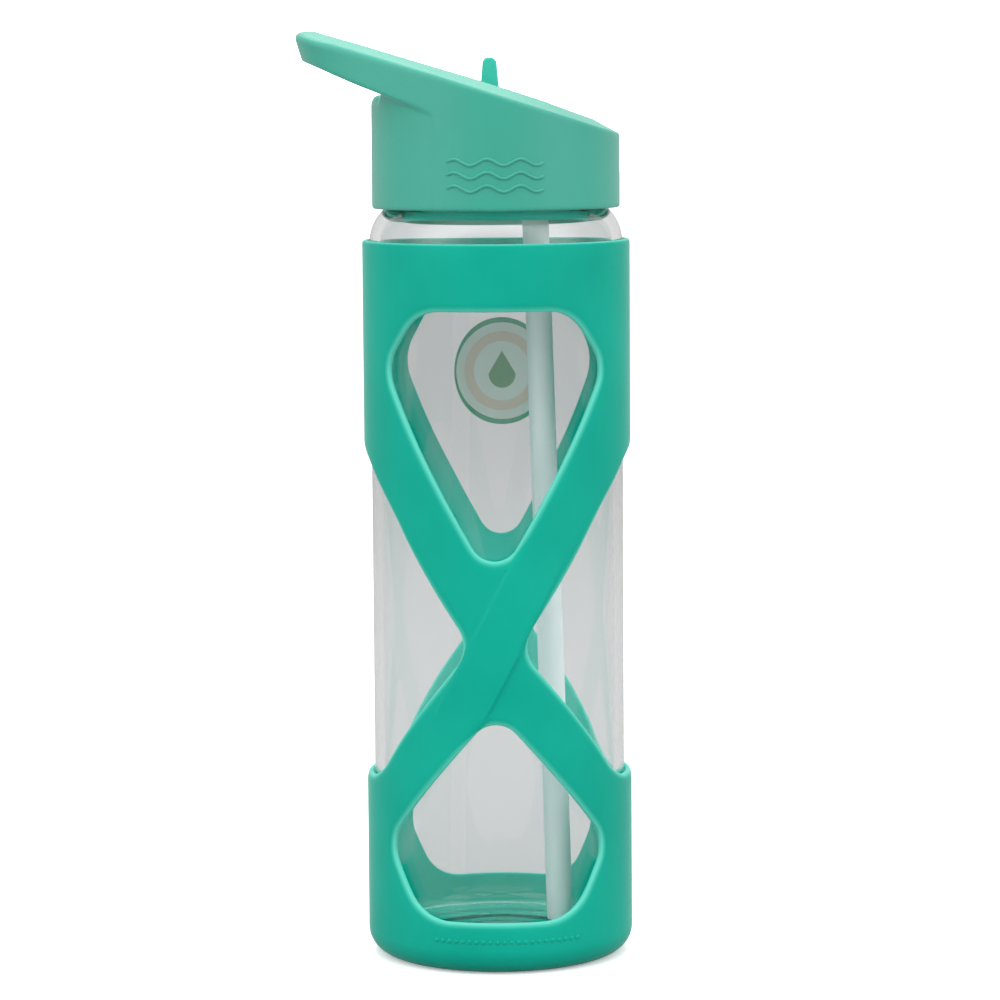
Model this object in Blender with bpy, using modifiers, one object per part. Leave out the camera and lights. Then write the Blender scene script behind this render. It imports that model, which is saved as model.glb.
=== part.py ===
"""Glass water bottle with a silicone sleeve and a screw lid that has a flip straw and a carry loop.

Units are metres and +Z is up.  The bottle's axis is the Z axis.  The origin is the centre of the
glass's flat underside, and the sleeve's foot ring stands 1.3 mm lower.  The carry loop points to -X,
and the spout swings about an axis parallel to Y.
"""

import math

import bmesh
import bpy
from mathutils import Matrix, Vector

MM = 0.001
GAP = 0.3 * MM  # space kept between pieces that touch
SEGMENTS = 48  # sides of a turned piece

# ---- glass bottle
GLASS_R = 33.5 * MM
GLASS_WALL = 2.7 * MM
GLASS_FLOOR = 5.0 * MM
HEEL_R = 6.2 * MM
FLOOR_CORNER_R = 5.0 * MM
SHOULDER_Z = 189.7 * MM
SHOULDER_R = 11.3 * MM
NECK_R = 28.2 * MM
MOUTH_R = 25.2 * MM
RIM_Z = 208.2 * MM
LIP_R = 1.0 * MM
SEAT_R = 18.4 * MM  # the flat middle of the underside, which shows through the sleeve's hole
UNDERSIDE_RECESS = 0.4 * MM

# ---- screw thread: one start, right-handed
PITCH = 5.0 * MM
THREAD_TURNS = 1.1
THREAD_STEPS_PER_TURN = 30
THREAD_HALF_ROOT = 1.15 * MM
THREAD_HALF_CREST = 0.55 * MM
THREAD_SUNK = 0.35 * MM
THREAD_START_Z = 200.5 * MM
GLASS_THREAD_CREST_R = 29.6 * MM
LID_THREAD_CREST_R = 28.6 * MM
LID_THREAD_START = 200.0  # degrees round from the glass thread's start

# ---- silicone sleeve
SLEEVE_R = 35.5 * MM
SLEEVE_BASE = -1.3 * MM
SLEEVE_TOP = 190.1 * MM
SLEEVE_FLOOR = 1.0 * MM
SLEEVE_HOLE_R = 19.0 * MM
FOOT_CORNER_R = 7.0 * MM
# Openings are drawn on the unrolled outer surface, as corners of (distance round, height, corner
# radius) in millimetres.  Each is the right half of an opening mirrored about its middle.
UPPER_WINDOW = [(0.0, 101.5, 7.0), (34.0, 157.6, 8.0), (21.3, 172.6, 14.0)]
LOWER_WINDOW = [(0.0, 68.7, 7.2), (33.9, 31.9, 8.0), (21.5, 12.8, 16.0)]
SIDE_OPENING = [(16.7, 48.0, 18.0), (49.5, 85.1, 8.3), (23.5, 121.9, 60.0), (0.0, 141.0, 22.0)]
SLEEVE_TURN = -1.5  # degrees that the sleeve sits turned on the glass
CUTTER_COLUMN = 4.6 * MM

# ---- round sticker on the back of the glass
STICKER_R = 14.8 * MM
STICKER_X = 1.5 * MM
STICKER_Z = 152.9 * MM
STICKER_THICKNESS = 0.2 * MM

# ---- lid shell: skirt, sloping deck and carry loop
LID_R = 32.9 * MM
LID_BOTTOM = 198.3 * MM
SKIRT_INNER_R = 31.5 * MM
LOOP_TIP_X = -35.7 * MM
LOOP_TIP_R = 16.6 * MM
OPENING_R = 24.9 * MM
OPENING_TIP_R = 10.6 * MM
EDGE_Z = 228.4 * MM  # outer top edge of the loop where it crosses the bottle's axis
EDGE_SLOPE = -0.325
CREST_RISE = 2.4 * MM
TIP_DROOP = 2.5 * MM
DROOP_START_X = -20.0 * MM
DECK_Z = 216.7 * MM  # sloping deck where it would cross the bottle's axis
DECK_SLOPE = -0.39
DECK_FLAT_Z = 214.3 * MM
DECK_THICKNESS = 1.4 * MM
RAMP_THICKNESS = 1.8 * MM
HOLLOW_R = 28.0 * MM
HOLLOW_RIGHT = 1.4 * MM
UNDER_LOOP_R = 32.75 * MM
UNDER_LOOP_RISE = 0.25 * MM  # how much higher than the ramp the loop's underside lies
LIP_EDGE_R = 3.2 * MM
LIP_HALF_ANGLE = 22.0  # degrees of the round wall that show inside the loop
SLOT_LEFT = 3.0 * MM
SLOT_RIGHT = 18.0 * MM
SLOT_HALF_WIDTH = 9.0 * MM
SLOT_CORNER_R = 3.0 * MM

# ---- lid insert: threaded cup, plug, straw socket and spout cradle
INSERT_R = 31.2 * MM
INSERT_INNER_R = 30.0 * MM
INSERT_BOTTOM = 199.1 * MM
PLATE_BOTTOM = 210.7 * MM
PLATE_TOP = 212.5 * MM
PLUG_OUTER_R = 24.7 * MM
PLUG_INNER_R = 23.2 * MM
PLUG_BOTTOM = 195.7 * MM
CRADLE_TOP = 213.8 * MM
BOSS_R = 6.6 * MM
BOSS_BOTTOM = 201.7 * MM
EAR_INNER_Y = 5.88 * MM
BARREL_ROOM_Y = 5.95 * MM
EAR_OUTER_Y = 8.4 * MM
EAR_R = 3.8 * MM
GASKET_INNER_R = 25.1 * MM
GASKET_OUTER_R = 28.2 * MM

# ---- straw and the seals round it
PORT_X = 10.13 * MM
STRAW_R = 3.5 * MM
STRAW_BORE_R = 2.7 * MM
STRAW_TOP = 208.3 * MM
STRAW_LENGTH = 201.4 * MM
STRAW_TILT = 1.68  # degrees, the lower end towards +X
SOCKET_BORE_R = 4.0 * MM
PORT_HOLE_R = 2.6 * MM
POCKET_R = 5.2 * MM
POCKET_Z = 209.7 * MM
SEAL_BORE_R = 2.2 * MM
VENT_X = -14.0 * MM
VENT_STEM_R = 1.0 * MM
VENT_BUTTON_R = 1.9 * MM
VENT_UMBRELLA_R = 4.4 * MM

# ---- flip spout, modelled folded: the nozzle points to -X and up by SPOUT_SLOPE degrees
SPOUT_SLOPE = 21.0
PIVOT_Z = 218.0 * MM
BARREL_R = 5.4 * MM
BARREL_HALF_WIDTH = 5.6 * MM
TRUNNION_R = 2.0 * MM
TRUNNION_REACH = 8.1 * MM
CHANNEL_R = 1.9 * MM
COLLAR_R = 4.3 * MM
COLLAR_LENGTH = 17.2 * MM
CORE_R = 3.0 * MM
CORE_LENGTH = 24.0 * MM
TIP_LENGTH = 26.0 * MM
TIP_BORE_R = 1.7 * MM
# Thumb tab seen from the front, as (x, z) in millimetres.
TAB_OUTLINE = [(-4.2, 224.2), (2.6, 221.6), (1.2, 229.2), (0.5, 236.9), (-0.4, 237.9),
               (-2.3, 238.0), (-3.2, 237.0)]
TAB_HALF_WIDTH = 5.5 * MM

PIVOT = Vector((PORT_X, 0.0, PIVOT_Z))
NOZZLE_TURN = Matrix.Rotation(math.radians(SPOUT_SLOPE - 90.0), 3, "Y")
ALONG_Y = Matrix.Rotation(math.radians(90.0), 3, "X")

TEAL_SILICONE = (0.010, 0.41, 0.30)
TEAL_PLASTIC = (0.045, 0.41, 0.31)
FROSTED_PLASTIC = (0.62, 0.68, 0.69)


# ---------------------------------------------------------------- scene and small helpers

def clear_scene():
    for obj in list(bpy.data.objects):
        bpy.data.objects.remove(obj, do_unlink=True)


def new_collection(name):
    collection = bpy.data.collections.new(name)
    bpy.context.scene.collection.children.link(collection)
    return collection


def make_material(name, colour, roughness, transmission=0.0):
    material = bpy.data.materials.new(name)
    material.use_nodes = True
    shader = material.node_tree.nodes["Principled BSDF"]
    shader.inputs["Base Color"].default_value = (*colour, 1.0)
    shader.inputs["Roughness"].default_value = roughness
    shader.inputs["Metallic"].default_value = 0.0
    shader.inputs["Transmission Weight"].default_value = transmission
    return material


def finish(obj, material):
    """A sub-part gets its material and smooth shading.  A cutter, which has none, is hidden."""
    if not material:
        obj.hide_render = True
        obj.display_type = "WIRE"
        return
    obj.data.materials.append(material)
    obj.data.shade_smooth()
    obj.data.set_sharp_from_angle(angle=math.radians(32))


def add_mesh(name, bm, collection, material=None, location=(0.0, 0.0, 0.0)):
    """Turns a bmesh into an object whose faces point out."""
    bmesh.ops.recalc_face_normals(bm, faces=bm.faces)
    if bm.calc_volume(signed=True) < 0:
        bmesh.ops.reverse_faces(bm, faces=bm.faces)
    mesh = bpy.data.meshes.new(name)
    bm.to_mesh(mesh)
    bm.free()
    obj = bpy.data.objects.new(name, mesh)
    obj.location = location
    collection.objects.link(obj)
    finish(obj, material)
    return obj


def add_turned(name, profile, collection, material=None, closed=True, segments=SEGMENTS):
    """A profile of (radius, height) points turned round the Z axis.  It runs down the outside."""
    mesh = bpy.data.meshes.new(name)
    count = len(profile)
    edges = [(i, i + 1) for i in range(count - 1)]
    if closed:
        edges.append((count - 1, 0))
    mesh.from_pydata([(r, 0.0, z) for r, z in profile], edges, [])
    obj = bpy.data.objects.new(name, mesh)
    collection.objects.link(obj)
    screw = obj.modifiers.new("turn", "SCREW")
    screw.steps = segments
    screw.render_steps = segments
    screw.use_merge_vertices = True
    screw.merge_threshold = 0.00001
    screw.use_smooth_shade = True
    finish(obj, material)
    return obj


def add_prism(name, outline, low, high, collection, material=None, creases=()):
    """A flat outline pushed up along Z.  low and high are numbers or functions of x, and creases are
    the x positions at which such a function bends."""
    bm = bmesh.new()
    face = bm.faces.new([bm.verts.new((x, y, 0.0)) for x, y in outline])
    grown = bmesh.ops.extrude_face_region(bm, geom=[face])
    upper = [v for v in grown["geom"] if isinstance(v, bmesh.types.BMVert)]
    bmesh.ops.translate(bm, verts=upper, vec=(0.0, 0.0, 1.0))
    for x in creases:
        bmesh.ops.bisect_plane(bm, geom=bm.verts[:] + bm.edges[:] + bm.faces[:],
                               plane_co=(x, 0.0, 0.0), plane_no=(1.0, 0.0, 0.0), dist=1e-7)
    for vert in bm.verts:
        height = high if vert.co.z > 0.5 else low
        vert.co.z = height(vert.co.x) if callable(height) else height
    return add_mesh(name, bm, collection, material)


def add_plate(name, outline, low, high, collection, location=(0.0, 0.0, 0.0)):
    """An outline in XZ pushed along Y from low to high, with its object's origin at location."""
    bm = bmesh.new()
    face = bm.faces.new([bm.verts.new((x, low, z)) for x, z in outline])
    grown = bmesh.ops.extrude_face_region(bm, geom=[face])
    moved = [v for v in grown["geom"] if isinstance(v, bmesh.types.BMVert)]
    bmesh.ops.translate(bm, verts=moved, vec=(0.0, high - low, 0.0))
    return add_mesh(name, bm, collection, None, location)


def add_cylinder(name, radius, low, high, collection, material=None, turn=None,
                 location=(0.0, 0.0, 0.0), segments=32):
    """A cylinder from low to high on its own Z axis, which turn may point another way."""
    bm = bmesh.new()
    bmesh.ops.create_cone(bm, cap_ends=True, segments=segments, radius1=radius, radius2=radius,
                          depth=high - low)
    bmesh.ops.translate(bm, verts=bm.verts, vec=(0.0, 0.0, (low + high) / 2))
    if turn:
        bmesh.ops.rotate(bm, verts=bm.verts, matrix=turn)
    return add_mesh(name, bm, collection, material, location)


def add_loft(name, rings, collection):
    """A body with quads between closed rings of equal length and a cap at either end."""
    bm = bmesh.new()
    rows = [[bm.verts.new(point) for point in ring] for ring in rings]
    for first, second in zip(rows, rows[1:]):
        for i in range(len(first)):
            j = (i + 1) % len(first)
            bm.faces.new((first[i], first[j], second[j], second[i]))
    bm.faces.new(rows[0])
    bm.faces.new(rows[-1])
    return add_mesh(name, bm, collection)


def boolean(obj, operation, others):
    for other in others:
        modifier = obj.modifiers.new(other.name, "BOOLEAN")
        modifier.operation = operation
        modifier.solver = "EXACT"
        modifier.object = other


def cut(obj, *others):
    boolean(obj, "DIFFERENCE", others)


def join(obj, *others):
    boolean(obj, "UNION", others)


# ---------------------------------------------------------------- outlines

def arc(centre, radius, start, end, count):
    """Points on a circle from start to end degrees, both ends included."""
    points = []
    for i in range(count + 1):
        angle = math.radians(start + (end - start) * i / count)
        points.append((centre[0] + radius * math.cos(angle), centre[1] + radius * math.sin(angle)))
    return points


def rounded(corners, steps=5):
    """A closed outline of (a, b, radius) corners with each corner replaced by an arc."""
    outline = []
    count = len(corners)
    for i in range(count):
        before = Vector(corners[i - 1][:2])
        corner = Vector(corners[i][:2])
        after = Vector(corners[(i + 1) % count][:2])
        radius = corners[i][2]
        back = (before - corner).normalized()
        ahead = (after - corner).normalized()
        half = back.angle(ahead) / 2
        centre = corner + (back + ahead).normalized() * (radius / math.sin(half))
        start = corner + back * (radius / math.tan(half)) - centre
        end = corner + ahead * (radius / math.tan(half)) - centre
        turn = math.atan2(start.x * end.y - start.y * end.x, start.dot(end))
        for k in range(steps + 1):
            angle = turn * k / steps
            outline.append((centre.x + start.x * math.cos(angle) - start.y * math.sin(angle),
                            centre.y + start.x * math.sin(angle) + start.y * math.cos(angle)))
    return outline


def mirrored(half):
    """Adds the left half to the right half of a symmetric outline's corners."""
    return half + [(-a, b, radius) for a, b, radius in reversed(half) if a > 0]


def teardrop(big_radius, tip_radius, big_steps=44, tip_steps=16):
    """Plan outline of the lid and its loop: a circle on the axis joined to one at the loop's tip."""
    tangent = math.degrees(math.acos((big_radius - tip_radius) / LOOP_TIP_X))
    body = arc((0.0, 0.0), big_radius, -tangent, tangent, big_steps)
    tip = arc((LOOP_TIP_X, 0.0), tip_radius, tangent, 360.0 - tangent, tip_steps)
    return body + tip


def slot_outline(inset=0.0):
    """Plan outline of the slot that the spout's cradle fills."""
    left, right = SLOT_LEFT + inset, SLOT_RIGHT - inset
    half = SLOT_HALF_WIDTH - inset
    corners = [(left, -half), (right, -half), (right, half), (left, half)]
    return rounded([(x, y, SLOT_CORNER_R - inset) for x, y in corners], steps=4)


def ramp_height(x):
    return DECK_Z + DECK_SLOPE * x


def deck_height(x):
    return max(ramp_height(x), DECK_FLAT_Z)


# ---------------------------------------------------------------- glass bottle

def glass_profile():
    inner_r = GLASS_R - GLASS_WALL
    heel = (GLASS_R - HEEL_R, HEEL_R)
    corner = (inner_r - FLOOR_CORNER_R, GLASS_FLOOR + FLOOR_CORNER_R)
    shoulder = (GLASS_R - SHOULDER_R, SHOULDER_Z)
    inner_shoulder_r = SHOULDER_R - GLASS_WALL
    outer_end = math.degrees(math.acos((NECK_R - shoulder[0]) / SHOULDER_R))
    inner_end = math.degrees(math.acos((MOUTH_R - shoulder[0]) / inner_shoulder_r))
    lip = (NECK_R - LIP_R, RIM_Z - LIP_R)
    points = [(0.0, GLASS_FLOOR)]
    points += arc(corner, FLOOR_CORNER_R, -90, 0, 5)
    points += arc(shoulder, inner_shoulder_r, 0, inner_end, 5)
    points += [(MOUTH_R, RIM_Z)]
    points += arc(lip, LIP_R, 90, 0, 3)
    points += arc(shoulder, SHOULDER_R, outer_end, 0, 7)
    points += arc(heel, HEEL_R, 0, -90, 5)
    points += [(heel[0] - 0.7 * MM, UNDERSIDE_RECESS), (SEAT_R + 0.6 * MM, UNDERSIDE_RECESS)]
    points += [(SEAT_R, 0.0), (0.0, 0.0)]
    return points


def thread_ridge(name, root_r, crest_r, start_angle, start_z, cutters):
    """A helical ridge with a trapezoid section that fades out at both ends."""
    steps = round(THREAD_TURNS * THREAD_STEPS_PER_TURN)
    sunk_r = root_r - math.copysign(THREAD_SUNK, crest_r - root_r)
    rings = []
    for i in range(steps + 1):
        angle = math.radians(start_angle) + 2 * math.pi * i / THREAD_STEPS_PER_TURN
        fade = min(1.0, 0.15 + 0.85 * min(i, steps - i) / 5)
        crest = root_r + (crest_r - root_r) * fade
        z = start_z + PITCH * i / THREAD_STEPS_PER_TURN
        section = [(sunk_r, -THREAD_HALF_ROOT), (crest, -THREAD_HALF_CREST),
                   (crest, THREAD_HALF_CREST), (sunk_r, THREAD_HALF_ROOT)]
        rings.append([(r * math.cos(angle), r * math.sin(angle), z + dz) for r, dz in section])
    return add_loft(name, rings, cutters)


def make_glass(parts, cutters, material):
    glass = add_turned("glass_bottle", glass_profile(), parts, material, closed=False)
    join(glass, thread_ridge("glass_thread", NECK_R, GLASS_THREAD_CREST_R, 0.0, THREAD_START_Z,
                             cutters))


# ---------------------------------------------------------------- silicone sleeve and sticker

def sleeve_profile():
    inner_r = GLASS_R + GAP
    foot = (SLEEVE_R - FOOT_CORNER_R, SLEEVE_BASE + FOOT_CORNER_R)
    heel = (GLASS_R - HEEL_R, HEEL_R)
    middle_r = (SLEEVE_R + inner_r) / 2
    rim = (middle_r, SLEEVE_TOP - (middle_r - inner_r))
    points = [(SLEEVE_HOLE_R, SLEEVE_BASE), (SLEEVE_HOLE_R, SLEEVE_BASE + SLEEVE_FLOOR)]
    points += arc(heel, HEEL_R + GAP, -90, 0, 5)
    points += arc(rim, middle_r - inner_r, 180, 0, 4)
    points += arc(foot, FOOT_CORNER_R, 0, -90, 6)
    return points


def add_wrapped(name, outline, inner_r, outer_r, middle, collection, material=None):
    """A flat outline of (distance round, height) bent round the Z axis.  Distances are measured at
    SLEEVE_R, and middle is where distance 0 goes, in degrees counter-clockwise from -Y."""
    bm = bmesh.new()
    face = bm.faces.new([bm.verts.new((a, inner_r, b)) for a, b in outline])
    grown = bmesh.ops.extrude_face_region(bm, geom=[face])
    moved = [v for v in grown["geom"] if isinstance(v, bmesh.types.BMVert)]
    bmesh.ops.translate(bm, verts=moved, vec=(0.0, outer_r - inner_r, 0.0))
    reach = int(max(abs(a) for a, _ in outline) / CUTTER_COLUMN) + 1
    for k in range(-reach, reach + 1):
        bmesh.ops.bisect_plane(bm, geom=bm.verts[:] + bm.edges[:] + bm.faces[:],
                               plane_co=(k * CUTTER_COLUMN, 0.0, 0.0), plane_no=(1.0, 0.0, 0.0),
                               dist=1e-7)
    for vert in bm.verts:
        around = math.radians(middle) + vert.co.x / SLEEVE_R
        radius = vert.co.y
        vert.co = Vector((radius * math.sin(around), -radius * math.cos(around), vert.co.z))
    return add_mesh(name, bm, collection, material)


def sleeve_opening(name, half, middle, cutters):
    outline = [(a * MM, b * MM) for a, b in rounded(mirrored(half))]
    return add_wrapped(name, outline, SLEEVE_R - 6 * MM, SLEEVE_R + 6 * MM, middle + SLEEVE_TURN,
                       cutters)


def make_sleeve(parts, cutters, material):
    sleeve = add_turned("silicone_sleeve", sleeve_profile(), parts, material)
    for side, middle in (("front", 0.0), ("back", 180.0)):
        cut(sleeve, sleeve_opening("upper_window_" + side, UPPER_WINDOW, middle, cutters))
        cut(sleeve, sleeve_opening("lower_window_" + side, LOWER_WINDOW, middle, cutters))
    for side, middle in (("right", 90.0), ("left", 270.0)):
        cut(sleeve, sleeve_opening("opening_" + side, SIDE_OPENING, middle, cutters))


def make_sticker(parts, material):
    outline = arc((-STICKER_X, STICKER_Z), STICKER_R, 0.0, 350.0, 35)
    inner_r = GLASS_R + GAP
    add_wrapped("back_sticker", outline, inner_r, inner_r + STICKER_THICKNESS, 180.0, parts, material)


# ---------------------------------------------------------------- lid shell

def loop_edge_height(x):
    """Height of the loop's outer top edge, which droops towards the tip."""
    share = max(0.0, (DROOP_START_X - x) / (DROOP_START_X - LOOP_TIP_X + LOOP_TIP_R))
    return EDGE_Z + EDGE_SLOPE * x - TIP_DROOP * share ** 3


def roof_cutter(cutters):
    """Everything above the loop's top face, which rises from its outer edge to its inner one."""
    beyond = 0.6
    top = 262 * MM
    crest, outside, lifted = [], [], []
    for edge_xy, crest_xy in zip(teardrop(LID_R, LOOP_TIP_R), teardrop(OPENING_R, OPENING_TIP_R)):
        edge = Vector((*edge_xy, loop_edge_height(edge_xy[0])))
        high = Vector((*crest_xy, EDGE_Z + CREST_RISE + EDGE_SLOPE * crest_xy[0]))
        low = edge + (edge - high) * beyond
        crest.append(high)
        outside.append(low)
        lifted.append(Vector((low.x, low.y, top)))
    return add_loft("roof_cutter", [crest, outside, lifted], cutters)


def under_loop_cutter(cutters):
    """The space under the loop outside the lid's round wall.  Where that wall shows inside the loop,
    its top edge is rounded."""
    far_r, bottom, columns = 62 * MM, 190 * MM, 30
    start = 119.5
    rings = []
    for k in range(columns + 1):
        angle = start + (360.0 - 2 * start) * k / columns
        edge_r = LIP_EDGE_R if abs(angle - 180.0) < LIP_HALF_ANGLE else 0.3 * MM
        cosine, sine = math.cos(math.radians(angle)), math.sin(math.radians(angle))
        section = [(far_r, bottom), (far_r, ramp_height(far_r * cosine) + UNDER_LOOP_RISE)]
        for a, b in arc((UNDER_LOOP_R - edge_r, UNDER_LOOP_RISE - edge_r), edge_r, 90, 0, 5):
            section.append((a, ramp_height(a * cosine) + b))
        section.append((UNDER_LOOP_R, bottom))
        rings.append([(r * cosine, r * sine, z) for r, z in section])
    return add_loft("under_loop_cutter", rings, cutters)


def ramp_hollow(cutters):
    """The wedge of space under the ramp, open to the skirt's bore below it."""
    ends = math.degrees(math.acos(HOLLOW_RIGHT / HOLLOW_R))
    outline = arc((0.0, 0.0), HOLLOW_R, ends, 360.0 - ends, 30)
    return add_prism("ramp_hollow", outline, DECK_FLAT_Z - DECK_THICKNESS - 3 * MM,
                     lambda x: ramp_height(x) - RAMP_THICKNESS, cutters)


def make_lid_shell(parts, cutters, material):
    top = 252 * MM
    shell = add_prism("lid_shell", teardrop(LID_R, LOOP_TIP_R), LID_BOTTOM, top, parts, material)
    ramp_end = (DECK_FLAT_Z - DECK_Z) / DECK_SLOPE
    cut(shell, roof_cutter(cutters), under_loop_cutter(cutters))
    cut(shell, add_prism("loop_opening", teardrop(OPENING_R, OPENING_TIP_R), deck_height, top + 5 * MM,
                         cutters, creases=[ramp_end]))
    cut(shell, add_cylinder("skirt_bore", SKIRT_INNER_R, LID_BOTTOM - 5 * MM,
                            DECK_FLAT_Z - DECK_THICKNESS, cutters, segments=60))
    cut(shell, ramp_hollow(cutters))
    cut(shell, add_prism("spout_slot", slot_outline(), 205 * MM, top, cutters))


# ---------------------------------------------------------------- lid insert and its seals

def insert_profile():
    return [(0.0, PLATE_BOTTOM), (PLUG_INNER_R, PLATE_BOTTOM), (PLUG_INNER_R, PLUG_BOTTOM),
            (PLUG_OUTER_R, PLUG_BOTTOM), (PLUG_OUTER_R, PLATE_BOTTOM),
            (INSERT_INNER_R, PLATE_BOTTOM), (INSERT_INNER_R, INSERT_BOTTOM),
            (INSERT_R, INSERT_BOTTOM), (INSERT_R, PLATE_TOP), (0.0, PLATE_TOP)][::-1]


def ear(name, side, cutters):
    """One of the two lugs that hold the spout's trunnions."""
    outline = [(EAR_R, CRADLE_TOP - PIVOT_Z - 0.6 * MM)] + arc((0.0, 0.0), EAR_R, 0, 180, 12)
    outline += [(-EAR_R, CRADLE_TOP - PIVOT_Z - 0.6 * MM)]
    low, high = sorted((side * EAR_INNER_Y, side * EAR_OUTER_Y))
    return add_plate(name, outline, low, high, cutters, PIVOT)


def make_insert(parts, cutters, material):
    insert = add_turned("lid_insert", insert_profile(), parts, material, closed=False)
    lid_thread_z = THREAD_START_Z + PITCH * (LID_THREAD_START / 360.0 - 0.5)
    port = (PORT_X, 0.0, 0.0)
    join(insert,
         thread_ridge("lid_thread", INSERT_INNER_R, LID_THREAD_CREST_R, LID_THREAD_START,
                      lid_thread_z, cutters),
         add_cylinder("socket_boss", BOSS_R, BOSS_BOTTOM, PLATE_BOTTOM + 1 * MM, cutters,
                      location=port),
         add_prism("cradle", slot_outline(GAP), PLATE_TOP - 0.5 * MM, CRADLE_TOP, cutters),
         ear("ear_front", -1, cutters),
         ear("ear_back", 1, cutters))
    cut(insert,
        add_cylinder("barrel_room", BARREL_R + GAP, -BARREL_ROOM_Y, BARREL_ROOM_Y, cutters,
                     turn=ALONG_Y, location=PIVOT),
        add_cylinder("trunnion_holes", TRUNNION_R + GAP, -12 * MM, 12 * MM, cutters, turn=ALONG_Y,
                     location=PIVOT),
        add_cylinder("seal_pocket", POCKET_R, POCKET_Z, PIVOT_Z, cutters, location=port),
        add_cylinder("port_hole", PORT_HOLE_R, STRAW_TOP, PIVOT_Z, cutters, location=port),
        add_cylinder("straw_socket", SOCKET_BORE_R, BOSS_BOTTOM - 2 * MM, STRAW_TOP + GAP, cutters,
                     location=port),
        add_cylinder("vent_hole", VENT_STEM_R + GAP, 205 * MM, 225 * MM, cutters, segments=16,
                     location=(VENT_X, 0.0, 0.0)))


def make_gasket(parts, material):
    low, high = RIM_Z + GAP, PLATE_BOTTOM - GAP
    profile = [(GASKET_OUTER_R, high), (GASKET_OUTER_R, low), (GASKET_INNER_R, low),
               (GASKET_INNER_R, high)]
    add_turned("rim_gasket", profile, parts, material)


def make_straw_seal(parts, material):
    outer_r = POCKET_R - GAP
    low, high = POCKET_Z + GAP, PIVOT_Z - BARREL_R - GAP
    profile = [(outer_r - 0.4 * MM, high), (outer_r, high - 0.4 * MM), (outer_r, low),
               (SEAL_BORE_R, low), (SEAL_BORE_R, high)]
    seal = add_turned("straw_seal", profile, parts, material, segments=32)
    seal.location.x = PORT_X


def make_vent_valve(parts, material):
    """A silicone umbrella under the plate with a stem through it and a button on top."""
    top, bottom = PLATE_TOP + GAP, PLATE_BOTTOM - GAP
    profile = [(0.0, top + 0.9 * MM), (1.1 * MM, top + 0.9 * MM), (VENT_BUTTON_R, top),
               (VENT_STEM_R, top), (VENT_STEM_R, bottom), (VENT_UMBRELLA_R, bottom),
               (VENT_UMBRELLA_R, bottom - 0.4 * MM), (2.0 * MM, bottom - 1.0 * MM),
               (0.0, bottom - 1.1 * MM)]
    valve = add_turned("vent_valve", profile, parts, material, closed=False, segments=24)
    valve.location.x = VENT_X


# ---------------------------------------------------------------- straw and spout

def make_straw(parts, material):
    profile = [(STRAW_R, 0.0), (STRAW_R, -STRAW_LENGTH), (STRAW_BORE_R, -STRAW_LENGTH),
               (STRAW_BORE_R, 0.0)]
    straw = add_turned("straw", profile, parts, material, segments=32)
    straw.location = (PORT_X, 0.0, STRAW_TOP)
    straw.rotation_euler = (0.0, -math.radians(STRAW_TILT), 0.0)


def make_lever(parts, cutters, material):
    lever = add_cylinder("spout_lever", BARREL_R, -BARREL_HALF_WIDTH, BARREL_HALF_WIDTH, parts,
                         material, turn=ALONG_Y, location=PIVOT)
    tab = [(x * MM - PIVOT.x, z * MM - PIVOT.z) for x, z in TAB_OUTLINE]
    join(lever,
         add_cylinder("trunnions", TRUNNION_R, -TRUNNION_REACH, TRUNNION_REACH, cutters,
                      turn=ALONG_Y, location=PIVOT, segments=20),
         add_cylinder("collar", COLLAR_R, 0.0, COLLAR_LENGTH, cutters, turn=NOZZLE_TURN,
                      location=PIVOT),
         add_cylinder("nozzle_core", CORE_R, 0.0, CORE_LENGTH, cutters, turn=NOZZLE_TURN,
                      location=PIVOT, segments=24),
         add_plate("tab", tab, -TAB_HALF_WIDTH, TAB_HALF_WIDTH, cutters, PIVOT))
    cut(lever, add_cylinder("channel", CHANNEL_R, -8 * MM, CORE_LENGTH + 1 * MM, cutters,
                            turn=NOZZLE_TURN, location=PIVOT, segments=20))


def make_tip(parts, material):
    """The soft mouthpiece stretched over the nozzle's core."""
    start, bore = COLLAR_LENGTH + GAP, CORE_R + GAP
    round_r = 1.6 * MM
    profile = [(TIP_BORE_R, CORE_LENGTH + GAP), (TIP_BORE_R, TIP_LENGTH)]
    profile += arc((COLLAR_R - round_r, TIP_LENGTH - round_r), round_r, 90, 0, 5)
    profile += [(COLLAR_R, start), (bore, start), (bore, CORE_LENGTH + GAP)]
    tip = add_turned("spout_tip", profile, parts, material, segments=32)
    tip.location = PIVOT
    tip.rotation_euler = (0.0, math.radians(SPOUT_SLOPE - 90.0), 0.0)


def main():
    clear_scene()
    parts = new_collection("water_bottle")
    cutters = new_collection("cutters")
    make_glass(parts, cutters, make_material("clear_glass", (0.93, 0.96, 0.95), 0.02, 1.0))
    make_sleeve(parts, cutters, make_material("sleeve_silicone", TEAL_SILICONE, 0.55))
    make_sticker(parts, make_material("sticker_paper", (0.50, 0.62, 0.56), 0.6))
    make_lid_shell(parts, cutters, make_material("shell_plastic", TEAL_PLASTIC, 0.4))
    make_insert(parts, cutters, make_material("insert_plastic", TEAL_PLASTIC, 0.45))
    make_gasket(parts, make_material("gasket_silicone", (0.72, 0.74, 0.73), 0.6))
    make_straw_seal(parts, make_material("seal_silicone", (0.70, 0.73, 0.72), 0.6))
    make_vent_valve(parts, make_material("valve_silicone", (0.71, 0.73, 0.72), 0.6))
    make_straw(parts, make_material("straw_plastic", FROSTED_PLASTIC, 0.5))
    make_lever(parts, cutters, make_material("lever_plastic", TEAL_PLASTIC, 0.42))
    make_tip(parts, make_material("tip_silicone", (0.69, 0.74, 0.73), 0.5))


main()
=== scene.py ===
"""Looks of the glass water bottle: detailed pieces, materials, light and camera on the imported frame."""

import math

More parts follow.
